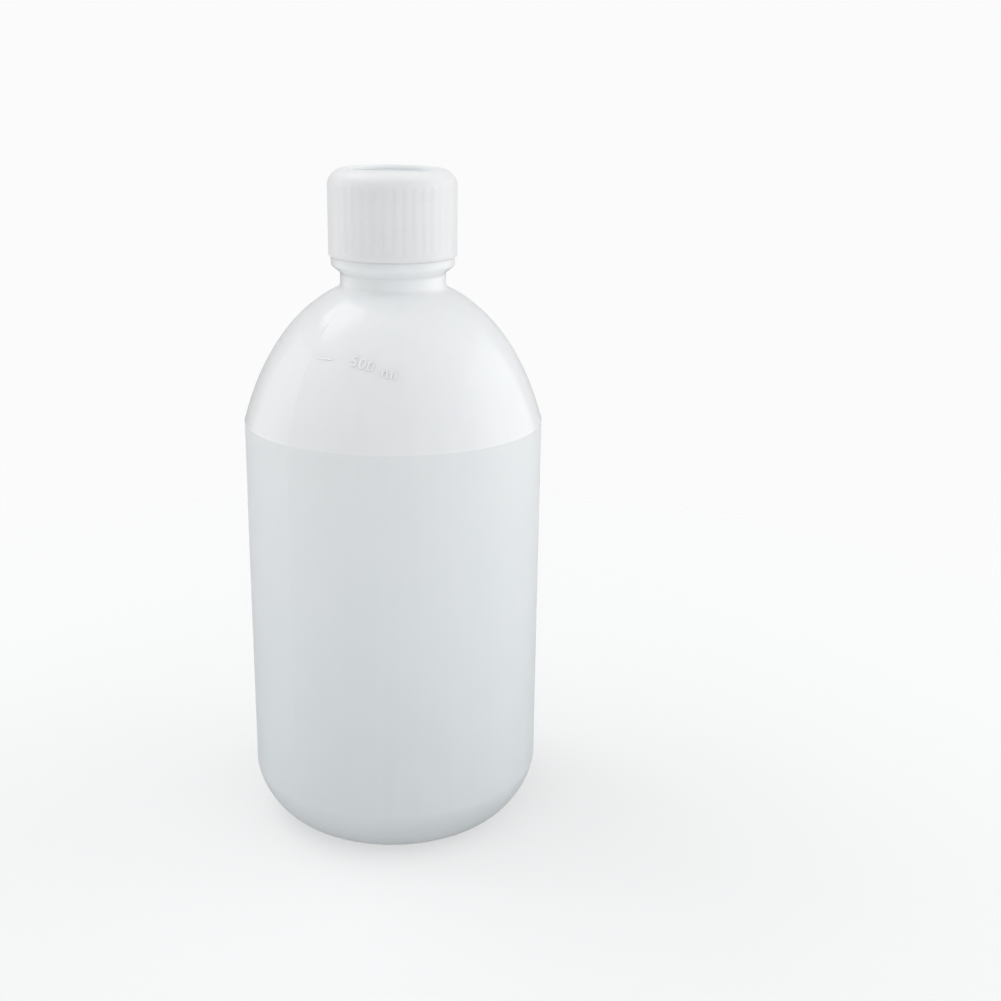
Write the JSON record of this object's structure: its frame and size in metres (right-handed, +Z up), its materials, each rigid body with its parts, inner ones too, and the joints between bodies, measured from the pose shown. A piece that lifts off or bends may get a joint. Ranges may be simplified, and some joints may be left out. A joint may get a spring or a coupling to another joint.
{
  "type": "reagent bottle",
  "caption": "Narrow-mouth plastic reagent bottle with a domed shoulder, beaded threaded neck, pressed-in plug and ribbed screw cap.",
  "frame": {"origin": "centre of the base, in the plane of the standing ring", "axes": "+Z up along the bottle's axis towards the cap, -Y is the front as seen in the source view"},
  "size_m": [0.075, 0.075, 0.1675],
  "materials": {
    "body": "milky translucent polyethylene, satin wall and glossier shoulder",
    "plug": "soft milky polyethylene, smooth",
    "wad": "white foamed polyethylene",
    "cap": "white polypropylene, satin"
  },
  "bodies": {
    "bottle": {"bottle_body": "body"},
    "plug": {"inner_plug": "plug"},
    "wad": {"sealing_wad": "wad"},
    "cap": {"screw_cap": "cap"}
  },
  "joints": [
    {"name": "cap_lift", "type": "slide", "parent": "bottle", "child": "wad", "axis": [0, 0, 1], "range_m": [0, 0.027]},
    {"name": "cap_turn", "type": "hinge", "parent": "wad", "child": "cap", "pos_m": [0, 0, 0.158], "axis": [0, 0, 1], "range_deg": [0, 3240]},
    {"name": "plug_pull", "type": "slide", "parent": "bottle", "child": "plug", "axis": [0, 0, 1], "range_m": [0, 0.0108]}
  ],
  "couplings": [
    {"joint": "cap_lift", "follows": "cap_turn", "m_per_rad": 0.00047746},
    {"joint": "plug_pull", "follows": "cap_turn", "m_per_rad": 0.00019099}
  ]
}
